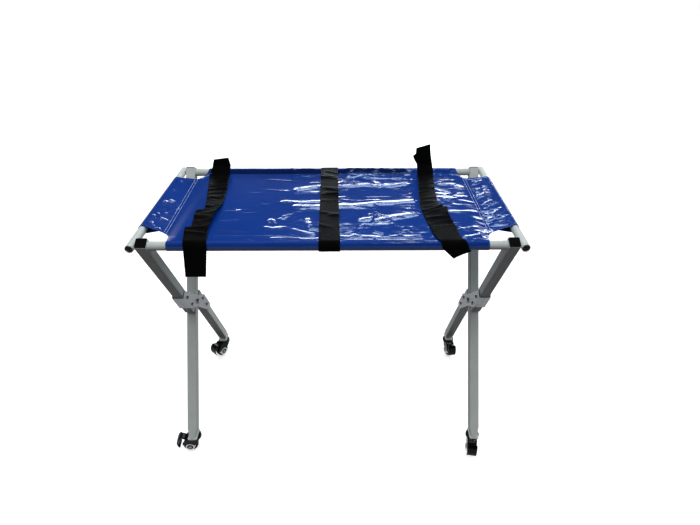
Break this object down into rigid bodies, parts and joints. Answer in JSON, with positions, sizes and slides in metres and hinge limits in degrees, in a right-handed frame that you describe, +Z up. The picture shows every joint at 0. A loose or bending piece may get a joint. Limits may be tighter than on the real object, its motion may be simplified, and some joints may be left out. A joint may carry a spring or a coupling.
{
  "type": "examination table",
  "caption": "Folding table with a glossy sheet stretched on a tube frame, webbing straps across it, legs crossing in an X at each end and braked swivel casters.",
  "frame": {"origin": "centre of the bounding box on the floor", "axes": "+X along the table's length to the right as seen from its front rail, +Y from the front rail to the rear rail, +Z up"},
  "size_m": [1.0344, 0.5572, 0.8974],
  "materials": {
    "silver_paint": "silver-grey powder coat, satin",
    "zinc_steel": "zinc plated, satin",
    "black_plastic": "moulded black, semi-matt",
    "black_rubber": "moulded black rubber, matt",
    "dark_hub": "moulded dark grey",
    "blue_sheet": "glossy coated PVC",
    "black_webbing": "woven polypropylene"
  },
  "bodies": {
    "front_frame": {"front_rail": "silver_paint", "front_left_rail_stud": "zinc_steel", "front_right_rail_stud": "zinc_steel", "front_left_leg_plug": "black_plastic", "front_right_leg_plug": "black_plastic", "left_split_leg_upper": "silver_paint", "left_split_leg_lower": "silver_paint", "left_inner_cross_plate": "zinc_steel", "left_outer_cross_plate": "zinc_steel", "left_upper_near_bolt": "zinc_steel", "left_upper_far_bolt": "zinc_steel", "left_lower_near_bolt": "zinc_steel", "left_lower_far_bolt": "zinc_steel", "left_pivot_bolt": "zinc_steel", "right_split_leg_upper": "silver_paint", "right_split_leg_lower": "silver_paint", "right_inner_cross_plate": "zinc_steel", "right_outer_cross_plate": "zinc_steel", "right_upper_near_bolt": "zinc_steel", "right_upper_far_bolt": "zinc_steel", "right_lower_near_bolt": "zinc_steel", "right_lower_far_bolt": "zinc_steel", "right_pivot_bolt": "zinc_steel", "table_sheet": "blue_sheet", "left_strap": "black_webbing", "middle_strap": "black_webbing", "right_strap": "black_webbing", "rear_left_caster_stem": "zinc_steel", "rear_right_caster_stem": "zinc_steel"},
    "rear_frame": {"rear_rail": "silver_paint", "rear_left_rail_stud": "zinc_steel", "rear_right_rail_stud": "zinc_steel", "rear_left_leg_plug": "black_plastic", "rear_right_leg_plug": "black_plastic", "left_through_leg": "silver_paint", "right_through_leg": "silver_paint", "front_left_caster_stem": "zinc_steel", "front_right_caster_stem": "zinc_steel"},
    "left_spreader": {"left_spreader_bar": "silver_paint"},
    "right_spreader": {"right_spreader_bar": "silver_paint"},
    "front_left_swivel": {"front_left_caster_fork": "black_plastic", "front_left_caster_axle": "zinc_steel"},
    "front_left_wheel": {"front_left_wheel_tyre": "black_rubber", "front_left_wheel_hub": "dark_hub"},
    "front_left_brake": {"front_left_brake_pedal": "black_plastic"},
    "front_right_swivel": {"front_right_caster_fork": "black_plastic", "front_right_caster_axle": "zinc_steel"},
    "front_right_wheel": {"front_right_wheel_tyre": "black_rubber", "front_right_wheel_hub": "dark_hub"},
    "front_right_brake": {"front_right_brake_pedal": "black_plastic"},
    "rear_left_swivel": {"rear_left_caster_fork": "black_plastic", "rear_left_caster_axle": "zinc_steel"},
    "rear_left_wheel": {"rear_left_wheel_tyre": "black_rubber", "rear_left_wheel_hub": "dark_hub"},
    "rear_left_brake": {"rear_left_brake_pedal": "black_plastic"},
    "rear_right_swivel": {"rear_right_caster_fork": "black_plastic", "rear_right_caster_axle": "zinc_steel"},
    "rear_right_wheel": {"rear_right_wheel_tyre": "black_rubber", "rear_right_wheel_hub": "dark_hub"},
    "rear_right_brake": {"rear_right_brake_pedal": "black_plastic"}
  },
  "joints": [
    {"name": "fold", "type": "hinge", "parent": "front_frame", "child": "rear_frame", "pos_m": [0.01021, 0.01822, 0.45217], "axis": [1, 0, 0], "range_deg": [0, 45], "deforming": ["table_sheet", "left_strap", "middle_strap", "right_strap"]},
    {"name": "left_spreader_slide", "type": "slide", "parent": "front_frame", "child": "left_spreader", "axis": [-1, 0, 0], "range_m": [0, 0.04], "deforming": ["table_sheet"]},
    {"name": "right_spreader_slide", "type": "slide", "parent": "front_frame", "child": "right_spreader", "axis": [1, 0, 0], "range_m": [0, 0.04], "deforming": ["table_sheet"]},
    {"name": "front_left_swivel_turn", "type": "hinge", "parent": "rear_frame", "child": "front_left_swivel", "pos_m": [-0.45629, -0.21678, 0.074], "axis": [0, 0, 1], "continuous": true},
    {"name": "front_left_wheel_spin", "type": "hinge", "parent": "front_left_swivel", "child": "front_left_wheel", "pos_m": [-0.47524, -0.21811, 0.025], "axis": [0.0698, -0.9976, 0], "continuous": true},
    {"name": "front_left_brake_press", "type": "hinge", "parent": "front_left_swivel", "child": "front_left_brake", "pos_m": [-0.48023, -0.21845, 0.0555], "axis": [0.0698, -0.9976, 0], "range_deg": [0, 10]},
    {"name": "front_right_swivel_turn", "type": "hinge", "parent": "rear_frame", "child": "front_right_swivel", "pos_m": [0.47671, -0.21678, 0.074], "axis": [0, 0, 1], "continuous": true},
    {"name": "front_right_wheel_spin", "type": "hinge", "parent": "front_right_swivel", "child": "front_right_wheel", "pos_m": [0.47341, -0.23549, 0.025], "axis": [0.9848, -0.1736, 0], "continuous": true},
    {"name": "front_right_brake_press", "type": "hinge", "parent": "front_right_swivel", "child": "front_right_brake", "pos_m": [0.47254, -0.24042, 0.0555], "axis": [0.9848, -0.1736, 0], "range_deg": [0, 10]},
    {"name": "rear_left_swivel_turn", "type": "hinge", "parent": "front_frame", "child": "rear_left_swivel", "pos_m": [-0.45629, 0.25155, 0.074], "axis": [0, 0, 1], "continuous": true},
    {"name": "rear_left_wheel_spin", "type": "hinge", "parent": "rear_left_swivel", "child": "rear_left_wheel", "pos_m": [-0.4685, 0.237, 0.025], "axis": [0.766, -0.6428, 0], "continuous": true},
    {"name": "rear_left_brake_press", "type": "hinge", "parent": "rear_left_swivel", "child": "rear_left_brake", "pos_m": [-0.47172, 0.23317, 0.0555], "axis": [0.766, -0.6428, 0], "range_deg": [0, 10]},
    {"name": "rear_right_swivel_turn", "type": "hinge", "parent": "front_frame", "child": "rear_right_swivel", "pos_m": [0.47671, 0.25155, 0.074], "axis": [0, 0, 1], "continuous": true},
    {"name": "rear_right_wheel_spin", "type": "hinge", "parent": "rear_right_swivel", "child": "rear_right_wheel", "pos_m": [0.47968, 0.23278, 0.025], "axis": [0.9877, 0.1564, 0], "continuous": true},
    {"name": "rear_right_brake_press", "type": "hinge", "parent": "rear_right_swivel", "child": "rear_right_brake", "pos_m": [0.48046, 0.22785, 0.0555], "axis": [0.9877, 0.1564, 0], "range_deg": [0, 10]}
  ],
  "couplings": [
    {"joint": "left_spreader_slide", "follows": "fold", "m_per_rad": 0.05},
    {"joint": "right_spreader_slide", "follows": "fold", "m_per_rad": 0.05}
  ]
}
